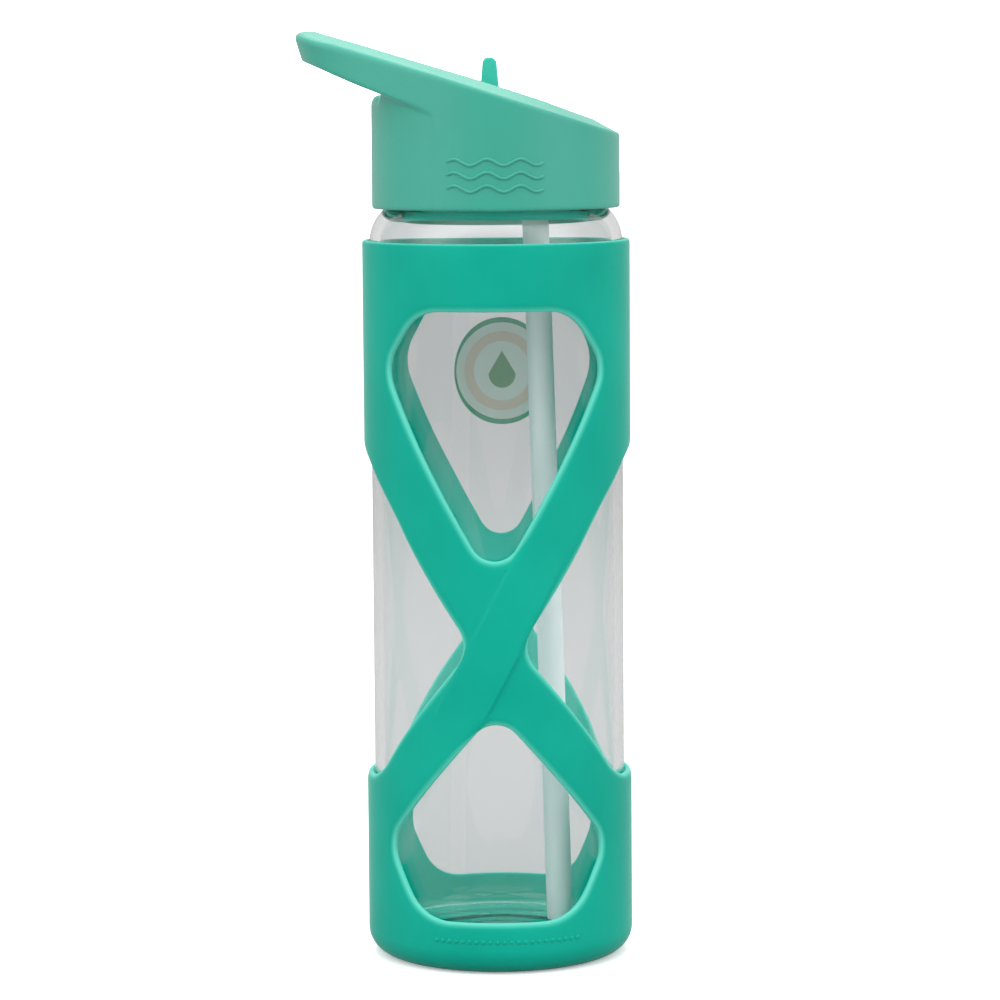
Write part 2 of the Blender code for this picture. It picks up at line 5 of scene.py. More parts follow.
import bmesh
import bpy
from mathutils import Matrix, Vector
from mathutils.geometry import delaunay_2d_cdt


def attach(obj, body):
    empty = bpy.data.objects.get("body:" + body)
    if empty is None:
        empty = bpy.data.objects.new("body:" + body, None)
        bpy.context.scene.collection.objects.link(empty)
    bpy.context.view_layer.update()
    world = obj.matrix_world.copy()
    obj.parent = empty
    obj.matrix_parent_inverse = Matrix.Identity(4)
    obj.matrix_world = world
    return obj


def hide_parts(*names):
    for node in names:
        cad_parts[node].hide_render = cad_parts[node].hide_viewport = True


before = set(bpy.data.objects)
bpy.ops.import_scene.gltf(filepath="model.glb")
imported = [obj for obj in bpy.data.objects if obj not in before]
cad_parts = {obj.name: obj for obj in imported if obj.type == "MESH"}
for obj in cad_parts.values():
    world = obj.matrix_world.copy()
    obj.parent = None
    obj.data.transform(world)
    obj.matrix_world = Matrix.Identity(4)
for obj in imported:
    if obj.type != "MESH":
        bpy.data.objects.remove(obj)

MM = 0.001
TWO_PI = 2 * math.pi
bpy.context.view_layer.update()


# ---------------------------------------------------------------- sizes, in metres unless noted

GLASS_R = 33.5 * MM
GLASS_WALL = 2.7 * MM
GLASS_FLOOR = 5.0 * MM
HEEL_R = 6.2 * MM
FLOOR_CORNER_R = 5.0 * MM
SHOULDER_Z = 189.7 * MM
SHOULDER_R = 11.3 * MM
NECK_R = 28.2 * MM
MOUTH_R = 25.2 * MM
RIM_Z = 208.2 * MM
LIP_R = 1.0 * MM

# The neck's screw thread.
THREAD_TURNS = 1.1
THREAD_STEPS_PER_TURN = 90
THREAD_PITCH = 5.0 * MM
THREAD_HALF_ROOT = 1.15 * MM
THREAD_HALF_CREST = 0.55 * MM
THREAD_SUNK = 0.35 * MM
THREAD_START_Z = 200.5 * MM
THREAD_CREST_R = 29.6 * MM

SLEEVE_R = 35.5 * MM
SLEEVE_INNER_R = 33.8 * MM
SLEEVE_BASE = -1.3 * MM
SLEEVE_TOP = 190.1 * MM
SLEEVE_HOLE_R = 19.0 * MM
FOOT_CORNER_R = 7.0 * MM
EDGE_WIDTH = 2.6 * MM  # how far the rounding reaches in from an opening
EDGE_DROP = 0.85 * MM
INNER_ROUND = 0.35 * MM

# Corners of the sleeve's openings on its unrolled outer surface, as (distance round, height, corner
# radius) in millimetres.  Each is the right half of an opening mirrored about its middle.
UPPER_WINDOW = [(0.0, 101.5, 7.0), (34.0, 157.6, 8.0), (21.3, 172.6, 14.0)]
LOWER_WINDOW = [(0.0, 68.7, 7.2), (33.9, 31.9, 8.0), (21.5, 12.8, 16.0)]
SIDE_OPENING = [(16.7, 48.0, 18.0), (49.5, 85.1, 8.3), (23.5, 121.9, 60.0), (0.0, 141.0, 22.0)]
SLEEVE_TURN = math.radians(-1.5) * SLEEVE_R  # how far the sleeve sits turned on the glass

# The strap that runs up to the right passes over the other one, and stands proud where they cross.
STRAP_LEAN = math.radians(27.6)
STRAP_LOW = 33.15 * MM
STRAP_HIGH = 46.03 * MM
STRAP_CENTRE = 76.9 * MM
STRAP_RISE = 0.75 * MM
STRAP_EDGE = 0.35 * MM

# Lid shell, as in the CAD.
LID_R = 32.9 * MM
LID_BOTTOM = 198.3 * MM
LID_TOP = 252 * MM  # above the ring, where the block that it is cut from ends
SKIRT_INNER_R = 31.5 * MM
LOOP_TIP_X = -35.7 * MM
LOOP_TIP_R = 16.6 * MM
OPENING_R = 24.9 * MM
OPENING_TIP_R = 10.6 * MM
EDGE_Z = 228.4 * MM
EDGE_SLOPE = -0.325
CREST_RISE = 2.4 * MM
TIP_DROOP = 2.1 * MM
EDGE_R = 0.9 * MM
TIP_EDGE_R = 2.4 * MM
TIP_LEAN = 2.1 * MM
TIP_SET_IN = 1.5 * MM
DROOP_START_X = -20.0 * MM
DECK_Z = 216.7 * MM
DECK_SLOPE = -0.39
DECK_FLAT_Z = 214.3 * MM
DECK_THICKNESS = 1.4 * MM
RAMP_THICKNESS = 1.8 * MM
HOLLOW_R = 28.0 * MM
HOLLOW_RIGHT = 1.4 * MM
UNDER_LOOP_R = 32.75 * MM
UNDER_LOOP_RISE = 0.25 * MM
LIP_EDGE_R = 4.2 * MM
LIP_HALF_ANGLE = 22.0
SLOT_LEFT = 3.0 * MM
SLOT_RIGHT = 18.0 * MM
SLOT_HALF_WIDTH = 9.0 * MM
SLOT_CORNER_R = 3.0 * MM

# Straw, spout and sticker.
PORT_X = 10.13 * MM
STRAW_R = 3.5 * MM
STRAW_BORE_R = 2.7 * MM
STRAW_TOP = 208.3 * MM
STRAW_LENGTH = 201.4 * MM
STRAW_TILT = 1.68
STICKER_R = 14.8 * MM
STICKER_X = 1.5 * MM
STICKER_Z = 152.9 * MM

# Raised marks.
WAVE_Z = 207.6 * MM
WAVE_WIDTH = 26.0 * MM
WAVE_HEIGHT = 0.8 * MM
WAVE_SPACING = 3.4 * MM
WAVE_R = 0.42 * MM
DOT_COUNT = 22
DOT_X = 1.9 * MM
DOT_Z = 7.9 * MM
DOT_SPACING = 1.85 * MM
DOT_R = 0.6 * MM

# Base colours.  The sleeve is a little translucent, and its inside is painted lighter to stand in for the
# light that comes through it.
SLEEVE_TEAL = (0.0, 0.335, 0.245)
# Painted highlight along the rounded edges of the sleeve's openings.
SLEEVE_EDGE_HIGHLIGHT = (0.09, 0.53, 0.42)
SLEEVE_TEAL_INSIDE_LIT = (0.0, 0.60, 0.46)
LID_TEAL = (0.022, 0.315, 0.230)
# The spout lever is painted lighter than the lid, to stand in for the light that the ring round it shades
# off.
LEVER_TEAL_LIT = (0.024, 0.50, 0.38)
# The lid's insert is painted lighter than the lid, to stand in for light in the shade under the skirt.
LID_TEAL_INSIDE_LIT = (0.02, 0.62, 0.47)

# Camera, in degrees where it isn't in metres.  The roll stands for the bottle's lean in the photograph.
CAMERA_PITCH = 6.1
CAMERA_DISTANCE = 1044 * MM
CAMERA_HEIGHT = 232.0 * MM
CAMERA_SIDE = 0.6 * MM
CAMERA_ROLL = -0.41
LENS = 141.5

# Brightness of the studio round the bottle, from behind the camera (-Y) to the far side (+Y).
STUDIO = [(-1.0, 0.75), (-0.82, 1.35), (-0.62, 2.75), (-0.35, 2.4), (0.0, 0.85), (1.0, 0.75)]
BRIGHTEST = 2.8
FLOOR_GREY = 0.39  # how the floor looks through the glass; the camera itself sees it white

# Mesh fineness.
COLUMNS = 192
GRID_STEP = 2.0 * MM
CROSSING_STEP = 0.9 * MM
CREASE_STEP = 0.7 * MM
CREASE_COUNT = 44
CREASE_OFFSETS = (-0.8, -0.35, -0.12, 0.12, 0.35, 0.8)  # millimetres
CREASE_REACH = 1.3 * MM

# The stretch of the sleeve round each crossing that gets the finer mesh.
CROSSING_HALF_WIDTH = 19 * MM
CROSSING_LOW = 58 * MM
CROSSING_HIGH = 118 * MM
FLATTEN_Z = 95 * MM  # the height that keeps its size when the sleeve is flattened
SLEEVE_WALL_TOP = 186 * MM


# ---------------------------------------------------------------- mesh helpers

def new_object(name, mesh, body=None):
    obj = bpy.data.objects.new(name, mesh)
    bpy.context.scene.collection.objects.link(obj)
    if body:
        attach(obj, body)
    return obj


def shade(mesh, angle=32.0):
    mesh.shade_smooth()
    mesh.set_sharp_from_angle(angle=math.radians(angle))


def mesh_from(name, verts, faces, angle=32.0):
    mesh = bpy.data.meshes.new(name)
    mesh.from_pydata([tuple(v) for v in verts], [], faces)
    bm = bmesh.new()
    bm.from_mesh(mesh)
    bmesh.ops.remove_doubles(bm, verts=bm.verts, dist=1e-6)
    bmesh.ops.recalc_face_normals(bm, faces=bm.faces)
    if bm.calc_volume(signed=True) < 0:
        bmesh.ops.reverse_faces(bm, faces=bm.faces)
    bm.to_mesh(mesh)
    bm.free()
    shade(mesh, angle)
    return mesh


def arc(centre, radius, start, end, count):
    points = []
    for i in range(count + 1):
        angle = math.radians(start + (end - start) * i / count)
        points.append((centre[0] + radius * math.cos(angle), centre[1] + radius * math.sin(angle)))
    return points


def rounded(corners, steps=12):
    """A closed outline of (a, b, radius) corners with each corner replaced by an arc."""
    outline = []
    count = len(corners)
    for i in range(count):
        before = Vector(corners[i - 1][:2])
        corner = Vector(corners[i][:2])
        after = Vector(corners[(i + 1) % count][:2])
        radius = corners[i][2]
        back = (before - corner).normalized()
        ahead = (after - corner).normalized()
        half = back.angle(ahead) / 2
        centre = corner + (back + ahead).normalized() * (radius / math.sin(half))
        start = corner + back * (radius / math.tan(half)) - centre
        end = corner + ahead * (radius / math.tan(half)) - centre
        turn = math.atan2(start.x * end.y - start.y * end.x, start.dot(end))
        for k in range(steps + 1):
            angle = turn * k / steps
            outline.append(Vector((
                centre.x + start.x * math.cos(angle) - start.y * math.sin(angle),
                centre.y + start.x * math.sin(angle) + start.y * math.cos(angle))))
    return outline


def mirrored(half):
    return half + [(-a, b, radius) for a, b, radius in reversed(half) if a > 0]


def resampled(outline, step):
    """The closed outline with points an even step apart."""
    lengths = [(outline[(i + 1) % len(outline)] - p).length for i, p in enumerate(outline)]
    total = sum(lengths)
    count = round(total / step)
    points, i, walked = [], 0, 0.0
    for k in range(count):
        target = total * k / count
        while walked + lengths[i] < target:
            walked += lengths[i]
            i += 1
        share = (target - walked) / lengths[i] if lengths[i] else 0.0
        points.append(outline[i].lerp(outline[(i + 1) % len(outline)], share))
    return points


def outward_normals(outline):
    centre = sum(outline, Vector((0.0, 0.0))) / len(outline)
    normals = []
    for i, point in enumerate(outline):
        along = outline[(i + 1) % len(outline)] - outline[i - 1]
        normal = Vector((along.y, -along.x)).normalized()
        normals.append(normal if normal.dot(point - centre) > 0 else -normal)
    return normals


def smoothstep(low, high, value):
    share = min(1.0, max(0.0, (value - low) / (high - low)))
    return share * share * (3 - 2 * share)


def turned(name, profile, closed=True, columns=COLUMNS, angle=32.0):
    """A (radius, height) profile turned round the Z axis."""
    verts, faces = [], []
    rows = len(profile)
    for r, z in profile:
        for k in range(columns):
            a = TWO_PI * k / columns
            verts.append((r * math.cos(a), r * math.sin(a), z))
    for i in range(rows if closed else rows - 1):
        j = (i + 1) % rows
        for k in range(columns):
            m = (k + 1) % columns
            faces.append((i * columns + k, i * columns + m, j * columns + m, j * columns + k))
    if not closed:
        first_r, last_r = profile[0][0], profile[-1][0]
        if first_r > 1e-6:
            faces.append(tuple(range(columns)))
        if last_r > 1e-6:
            faces.append(tuple((rows - 1) * columns + k for k in range(columns)))
    return mesh_from(name, verts, faces, angle)


# ---------------------------------------------------------------- solids: cut, joined and softened

def solid(bm):
    """A temporary object from a closed bmesh, with its faces pointing out."""
    bmesh.ops.recalc_face_normals(bm, faces=bm.faces)
    if bm.calc_volume(signed=True) < 0:
        bmesh.ops.reverse_faces(bm, faces=bm.faces)
    mesh = bpy.data.meshes.new("solid")
    bm.to_mesh(mesh)
    bm.free()
    return new_object("solid", mesh)


def loft(rings):
    """A solid with quads between closed rings of equal length and a cap at either end."""
    bm = bmesh.new()
    rows = [[bm.verts.new(point) for point in ring] for ring in rings]
    for first, second in zip(rows, rows[1:]):
        for i in range(len(first)):
            j = (i + 1) % len(first)
            bm.faces.new((first[i], first[j], second[j], second[i]))
    bm.faces.new(rows[0])
    bm.faces.new(rows[-1])
    return solid(bm)


def prism(outline, low, high, creases=()):
    """An outline in XY pushed up.  low and high are numbers or functions of x that bend at creases."""
    bm = bmesh.new()
    face = bm.faces.new([bm.verts.new((x, y, 0.0)) for x, y in outline])
    grown = bmesh.ops.extrude_face_region(bm, geom=[face])
    upper = [v for v in grown["geom"] if isinstance(v, bmesh.types.BMVert)]
    bmesh.ops.translate(bm, verts=upper, vec=(0.0, 0.0, 1.0))
    for x in creases:
        bmesh.ops.bisect_plane(bm, geom=bm.verts[:] + bm.edges[:] + bm.faces[:],
                               plane_co=(x, 0.0, 0.0), plane_no=(1.0, 0.0, 0.0), dist=1e-7)
    for vert in bm.verts:
        height = high if vert.co.z > 0.5 else low
        vert.co.z = height(vert.co.x) if callable(height) else height
    return solid(bm)


def apply_modifiers(obj):
    graph = bpy.context.evaluated_depsgraph_get()
    mesh = bpy.data.meshes.new_from_object(obj.evaluated_get(graph))
    obj.modifiers.clear()
    obj.data = mesh


def combine(obj, operation, other):
    modifier = obj.modifiers.new("combine", "BOOLEAN")
    modifier.operation = operation
    modifier.solver = "MANIFOLD"
    modifier.object = other
    apply_modifiers(obj)
    bpy.data.objects.remove(other)


def soften(obj, voxel, passes, keep=1.0):
    """Rounds every edge a little, as a moulding's edges are."""
    remesh = obj.modifiers.new("remesh", "REMESH")
    remesh.mode = "VOXEL"
    remesh.voxel_size = voxel
    smooth = obj.modifiers.new("smooth", "SMOOTH")
    smooth.factor = 0.5
    smooth.iterations = passes
    if keep < 1.0:
        decimate = obj.modifiers.new("decimate", "DECIMATE")
        decimate.ratio = keep
    apply_modifiers(obj)
    obj.data.shade_smooth()


def softened_copy(node, voxel, passes, body):
    """A copy of a CAD node with its edges rounded, in the node's place."""
    copy = new_object("soft_" + node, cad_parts[node].data.copy(), body)
    soften(copy, voxel, passes)
    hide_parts(node)
    return copy


# ---------------------------------------------------------------- sleeve

def strap_rise(u, v):
    """How far the upper strap stands proud at (distance round from a crossing, height)."""
    across = -math.cos(STRAP_LEAN) * u + math.sin(STRAP_LEAN) * v
    along = math.sin(STRAP_LEAN) * u + math.cos(STRAP_LEAN) * v
    inside = smoothstep(STRAP_LOW - STRAP_EDGE, STRAP_LOW + STRAP_EDGE, across)
    inside *= 1 - smoothstep(STRAP_HIGH - STRAP_EDGE, STRAP_HIGH + STRAP_EDGE, across)
    fade = 1 - smoothstep(12 * MM, 30 * MM, abs(along - STRAP_CENTRE))
    return STRAP_RISE * inside * fade


def sleeve_outer_r(u, v):
    """Outer radius with the straps' relief at both crossings."""
    half_turn = math.pi * SLEEVE_R
    near = (u - SLEEVE_TURN + half_turn / 2) % half_turn - half_turn / 2
    return SLEEVE_R + strap_rise(near, v)


def sleeve_rings(outline):
    """Offset copies of an opening's outline: (distance into the sleeve, points)."""
    normals = outward_normals(outline)
    shares = [1 - math.cos(math.radians(a)) for a in range(0, 91, 15)]
    return [(s * EDGE_WIDTH, [p + n * s * EDGE_WIDTH for p, n in zip(outline, normals)])
            for s in shares]


def edge_drop(distance, width, depth):
    """How far a rounded edge falls below its surface at a distance from the opening."""
    inside = 1 - min(distance, width) / width
    return depth * (1 - math.sqrt(max(0.0, 1 - inside ** 2)))


def place(u, v, radius):
    """A point on the sleeve: u is the distance round from the front, towards +X."""
    around = u / SLEEVE_R
    return Vector((radius * math.sin(around), -radius * math.cos(around), v))


def sleeve_openings():
    quarter = math.pi * SLEEVE_R / 2
    shapes = []
    for middle in (0.0, 2 * quarter):
        shapes.append((middle, mirrored(UPPER_WINDOW)))
        shapes.append((middle, mirrored(LOWER_WINDOW)))
    for middle in (quarter, -quarter):
        shapes.append((middle, mirrored(SIDE_OPENING)))
    found = []
    for middle, corners in shapes:
        outline = [Vector((middle + SLEEVE_TURN, 0.0)) + p * MM for p in rounded(corners)]
        found.append(resampled(outline, 0.9 * MM))
    return found


def inside_convex(point, outline):
    sign = 0
    for i, a in enumerate(outline):
        b = outline[(i + 1) % len(outline)]
        cross = (b.x - a.x) * (point.y - a.y) - (b.y - a.y) * (point.x - a.x)
        if cross * sign < 0:
            return False
        sign = sign or (1 if cross > 0 else -1)
    return True


def flatten(u, v):
    """A conformal map from the unrolled sleeve to a flat ring, so that it joins up round the back."""
    scale = math.exp((v - FLATTEN_Z) / SLEEVE_R)
    around = u / SLEEVE_R
    return Vector((scale * math.cos(around), scale * math.sin(around)))


def unflatten(point):
    return (math.atan2(point.y, point.x) * SLEEVE_R, math.log(point.length) * SLEEVE_R + FLATTEN_Z)


def sleeve_sheet(low_v, high_v):
    """Triangles of the sleeve's wall between two heights, outside the openings' outermost rings.
    Returns flat points, triangles and each opening's rings."""
    rings = [sleeve_rings(outline) for outline in sleeve_openings()]
    flat, edges = [], []

    def add_loop(points):
        start = len(flat)
        flat.extend(points)
        edges.extend((start + i, start + (i + 1) % len(points)) for i in range(len(points)))

    for height in (low_v, high_v):
        add_loop([flatten(TWO_PI * SLEEVE_R * k / COLUMNS, height) for k in range(COLUMNS)])
    for ring in rings:
        add_loop([flatten(p.x, p.y) for p in ring[-1][1]])
    keep_out = [ring[-1][1] for ring in rings]
    boxes = [(min(p.x for p in o), max(p.x for p in o), min(p.y for p in o), max(p.y for p in o))
             for o in keep_out]
    whole_turn = TWO_PI * SLEEVE_R

    def is_free(u, v, room):
        for outline, (left, right, low, high) in zip(keep_out, boxes):
            if v < low - room or v > high + room:
                continue
            for shift in (-whole_turn, 0.0, whole_turn):
                w = u + shift
                if w < left - room or w > right + room:
                    continue
                point = Vector((w, v))
                if inside_convex(point, outline):
                    return False
                if room and min((point - q).length_squared for q in outline) < room * room:
                    return False
        return True

    def add_grid(step, left, right, low, high, skip=None):
        rows = round((high - low) / step)
        for j in range(rows + 1):
            v = low + (high - low) * j / rows
            columns = round((right - left) / step)
            for i in range(columns):
                u = left + (right - left) * (i + 0.5 * (j % 2)) / columns
                if skip and skip(u, v):
                    continue
                if is_free(u, v, step * 0.55):
                    flat.append(flatten(u, v))

    half = whole_turn / 2

    def near_crossing(u, v):
        w = (u - SLEEVE_TURN + half / 2) % half - half / 2
        return abs(w) < CROSSING_HALF_WIDTH and CROSSING_LOW < v < CROSSING_HIGH

    add_grid(GRID_STEP, -half, half, low_v + GRID_STEP, high_v - GRID_STEP, near_crossing)
    lean = (math.sin(STRAP_LEAN), math.cos(STRAP_LEAN))
    creases = [(line, offset) for line in (STRAP_LOW, STRAP_HIGH)
               for offset in CREASE_OFFSETS]

    def near_crease(u, v):
        w = (u - SLEEVE_TURN + half / 2) % half - half / 2
        across = -lean[1] * w + lean[0] * v
        return min(abs(across - STRAP_LOW), abs(across - STRAP_HIGH)) < CREASE_REACH

    for middle in (SLEEVE_TURN, half + SLEEVE_TURN):
        for line, offset in creases:
            across = line + offset * MM
            for k in range(-CREASE_COUNT, CREASE_COUNT + 1):
                along = STRAP_CENTRE + k * CREASE_STEP
                u = middle + lean[0] * along - lean[1] * across
                v = lean[1] * along + lean[0] * across
                if is_free(u, v, CREASE_STEP / 2):
                    flat.append(flatten(u, v))
        add_grid(CROSSING_STEP, middle - CROSSING_HALF_WIDTH, middle + CROSSING_HALF_WIDTH,
                 CROSSING_LOW, CROSSING_HIGH, near_crease)
    points, _, triangles, _, _, _ = delaunay_2d_cdt(flat, edges, [], 0, 1e-9)
    found = [unflatten(p) for p in points]
    kept = []
    for triangle in triangles:
        middle = sum((points[i] for i in triangle), Vector((0.0, 0.0))) / 3
        u, v = unflatten(middle)
        if low_v < v < high_v and is_free(u, v, 0.0):
            kept.append(tuple(triangle))
    return found, kept, rings


def sleeve_mesh():
    """Outer wall with rounded openings, inner wall, rolled rim and foot."""
    low_v, high_v = SLEEVE_BASE + FOOT_CORNER_R + 1 * MM, SLEEVE_WALL_TOP
    found, triangles, rings = sleeve_sheet(low_v, high_v)
    verts, faces = [], []
    for surface in ("outer", "inner"):
        start = len(verts)
        for u, v in found:
            verts.append(place(u, v, sleeve_outer_r(u, v) if surface == "outer" else SLEEVE_INNER_R))
        faces.extend(tuple(start + i for i in triangle) for triangle in triangles)
    for ring in rings:
        rows = []
        for distance, points in reversed(ring):
            drop = edge_drop(distance, EDGE_WIDTH, EDGE_DROP)
            rows.append([place(p.x, p.y, sleeve_outer_r(p.x, p.y) - drop) for p in points])
        for distance, points in ring:
            drop = edge_drop(distance, INNER_ROUND * 2, INNER_ROUND)
            rows.append([place(p.x, p.y, SLEEVE_INNER_R + drop) for p in points])
        add_rows(verts, faces, rows, False)
    middle_r = (SLEEVE_R + SLEEVE_INNER_R) / 2
    rim = arc((middle_r, SLEEVE_TOP - (SLEEVE_R - middle_r)), SLEEVE_R - middle_r, 0, 180, 10)
    add_rows(verts, faces, circles([(SLEEVE_R, high_v)] + rim + [(SLEEVE_INNER_R, high_v)]), False)
    foot = arc((SLEEVE_R - FOOT_CORNER_R, SLEEVE_BASE + FOOT_CORNER_R), FOOT_CORNER_R, 0, -90, 14)
    hole_r = SLEEVE_HOLE_R + 0.4 * MM
    hole = arc((hole_r, SLEEVE_BASE + 0.5 * MM), 0.5 * MM, -90, -270, 6)
    heel = arc((GLASS_R - HEEL_R, HEEL_R), HEEL_R + 0.3 * MM, -90, 0, 10)
    base = [(SLEEVE_R, low_v)] + foot + hole + heel + [(SLEEVE_INNER_R, low_v)]
    add_rows(verts, faces, circles(base), False)
    return mesh_from("sleeve", verts, faces, 50.0)


def circles(profile, columns=COLUMNS):
    rows = []
    for r, z in profile:
        rows.append([place(TWO_PI * SLEEVE_R * k / columns, z, r) for k in range(columns)])
    return rows


def add_rows(verts, faces, rows, closed):
    """Quads between closed rows of points of equal length."""
    start, count = len(verts), len(rows[0])
    for row in rows:
        verts.extend(row)
    for i in range(len(rows) if closed else len(rows) - 1):
        j = (i + 1) % len(rows)
        for k in range(count):
            m = (k + 1) % count
            faces.append((start + i * count + k, start + i * count + m,
                          start + j * count + m, start + j * count + k))


def make_sleeve():
    sleeve = new_object("sleeve", sleeve_mesh(), "bottle")
    sleeve.data.materials.append(silicone_material("teal_silicone", SLEEVE_TEAL,
                                                   edge_highlight=SLEEVE_EDGE_HIGHLIGHT))
    sleeve.data.materials.append(silicone_material("teal_silicone_inside_lit", SLEEVE_TEAL_INSIDE_LIT))
    # The inner wall, and the faces inside it that face up, take the inside material, painted lighter to
    # stand in for light coming through the silicone.
    limit = (SLEEVE_INNER_R + 0.25 * MM) ** 2
    for face in sleeve.data.polygons:
        middle = face.center
        inwards = middle.x * face.normal.x + middle.y * face.normal.y < 0
        if middle.x ** 2 + middle.y ** 2 < limit and (inwards or face.normal.z > 0.5):
            face.material_index = 1
    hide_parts("silicone_sleeve")


# ---------------------------------------------------------------- glass

def glass_profile():
    inner_r = GLASS_R - GLASS_WALL
    heel = (GLASS_R - HEEL_R, HEEL_R)
    corner = (inner_r - FLOOR_CORNER_R, GLASS_FLOOR + FLOOR_CORNER_R)
    shoulder = (GLASS_R - SHOULDER_R, SHOULDER_Z)
    inner_shoulder_r = SHOULDER_R - GLASS_WALL
    outer_end = math.degrees(math.acos((NECK_R - shoulder[0]) / SHOULDER_R))
    inner_end = math.degrees(math.acos((MOUTH_R - shoulder[0]) / inner_shoulder_r))
    points = [(0.0, GLASS_FLOOR + 0.6 * MM), (10 * MM, GLASS_FLOOR + 0.3 * MM)]
    points += arc(corner, FLOOR_CORNER_R, -90, 0, 16)
    points += arc(shoulder, inner_shoulder_r, 0, inner_end, 16)
    points += arc((MOUTH_R + 0.9 * MM, RIM_Z - 0.9 * MM), 0.9 * MM, 180, 90, 5)
    points += arc((NECK_R - LIP_R, RIM_Z - LIP_R), LIP_R, 90, 0, 6)
    points += arc(shoulder, SHOULDER_R, outer_end, 0, 22)
    points += arc(heel, HEEL_R, 0, -90, 16)
    points += [(20 * MM, 0.0), (17 * MM, 0.25 * MM), (0.0, 0.35 * MM)]
    return points


def glass_thread():
    """The neck's screw thread: a helical ridge that fades out at both ends."""
    steps = round(THREAD_TURNS * THREAD_STEPS_PER_TURN)
    rings = []
    for i in range(steps + 1):
        angle = TWO_PI * i / THREAD_STEPS_PER_TURN
        fade = min(1.0, 0.15 + 0.85 * min(i, steps - i) / (THREAD_STEPS_PER_TURN / 6))
        crest = NECK_R + (THREAD_CREST_R - NECK_R) * fade
        z = THREAD_START_Z + THREAD_PITCH * i / THREAD_STEPS_PER_TURN
        section = [(NECK_R - THREAD_SUNK, -THREAD_HALF_ROOT), (crest, -THREAD_HALF_CREST),
                   (crest, THREAD_HALF_CREST), (NECK_R - THREAD_SUNK, THREAD_HALF_ROOT)]
        rings.append([(r * math.cos(angle), r * math.sin(angle), z + dz) for r, dz in section])
    return loft(rings)


def make_glass():
    mesh = turned("glass", glass_profile(), closed=False, angle=50.0)
    glass = new_object("glass", mesh, "bottle")
    combine(glass, "UNION", glass_thread())
    shade(glass.data, 50.0)
    glass.data.materials.clear()
    glass.data.materials.append(glass_material())
    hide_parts("glass_bottle")


def make_straw():
    """A hollow straw with rounded ends."""
    round_r = (STRAW_R - STRAW_BORE_R) / 2 * 0.95
    middle = (STRAW_R + STRAW_BORE_R) / 2
    profile = arc((middle, -round_r), round_r, 180, 0, 6)
    profile += [(STRAW_R, -STRAW_LENGTH * k / 24) for k in range(1, 24)]
    profile += arc((middle, -STRAW_LENGTH + round_r), round_r, 0, -180, 6)
    profile += [(STRAW_BORE_R, -STRAW_LENGTH * (24 - k) / 24) for k in range(1, 24)]
    straw = new_object("frosted_straw", turned("straw", profile, columns=64), "lid")
    turn = Matrix.Rotation(math.radians(-STRAW_TILT), 4, "Y")
    straw.data.transform(Matrix.Translation((PORT_X, 0.0, STRAW_TOP)) @ turn)
    straw.data.materials.append(frosted_material())
    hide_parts("straw")


def make_sticker():
    """A thin round label bent to the back of the glass."""
    inner_r, thickness, rings, columns = GLASS_R + 0.3 * MM, 0.2 * MM, 10, 96
    verts, faces = [], []
    back = math.pi * SLEEVE_R
    for side_r in (inner_r, inner_r + thickness):
        for j in range(1, rings + 1):
            reach = STICKER_R * j / rings
            for k in range(columns):
                a = TWO_PI * k / columns
                u = back - STICKER_X + reach * math.cos(a) * 0.9995
                verts.append(place(u, STICKER_Z + reach * math.sin(a) * 0.9995, side_r))
    for side in (0, 1):
        first = side * rings * columns
        faces.append(tuple(first + k for k in range(columns)))
        for j in range(rings - 1):
            for k in range(columns):
                m = (k + 1) % columns
                a = first + j * columns
                faces.append((a + k, a + m, a + columns + m, a + columns + k))
    outer = (rings - 1) * columns
    for k in range(columns):
        m = (k + 1) % columns
        faces.append((outer + k, outer + m, outer + m + rings * columns,
                      outer + k + rings * columns))
    sticker = new_object("label", mesh_from("label", verts, faces), "bottle")
    sticker.data.materials.append(sticker_material())
    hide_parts("back_sticker")


# ---------------------------------------------------------------- lid

def teardrop(big_radius, tip_radius, big_steps=170, tip_steps=80):
    """Plan outline of the lid and its loop: a circle on the axis joined to one at the loop's tip."""
    tangent = math.degrees(math.acos((big_radius - tip_radius) / LOOP_TIP_X))
    body = arc((0.0, 0.0), big_radius, -tangent, tangent, big_steps)
    tip = arc((LOOP_TIP_X, 0.0), tip_radius, tangent, 360.0 - tangent, tip_steps)
    return body + tip


def slot_outline():
    corners = [(SLOT_LEFT, -SLOT_HALF_WIDTH), (SLOT_RIGHT, -SLOT_HALF_WIDTH),
               (SLOT_RIGHT, SLOT_HALF_WIDTH), (SLOT_LEFT, SLOT_HALF_WIDTH)]
    return [tuple(p) for p in rounded([(x, y, SLOT_CORNER_R) for x, y in corners])]


def ramp_height(x):
    return DECK_Z + DECK_SLOPE * x


def loop_edge_height(x, y):
    """Height of the loop's outer top edge, which droops beside the tip but not at it."""
    share = max(0.0, (DROOP_START_X - x) / (DROOP_START_X - LOOP_TIP_X + LOOP_TIP_R))
    droop = TIP_DROOP * share ** 3 * (0.15 + 0.85 * smoothstep(3 * MM, 14 * MM, abs(y)))
    return EDGE_Z + EDGE_SLOPE * x - droop


def crest_height(x):
    """Height of the ring's inner top edge, a little lower at both ends."""
    at_loop = 0.8 * MM * max(0.0, -x / (46 * MM)) ** 1.2
    at_front = 0.6 * MM * smoothstep(10 * MM, 25 * MM, x)
    return EDGE_Z + CREST_RISE + EDGE_SLOPE * x - (at_loop + at_front)


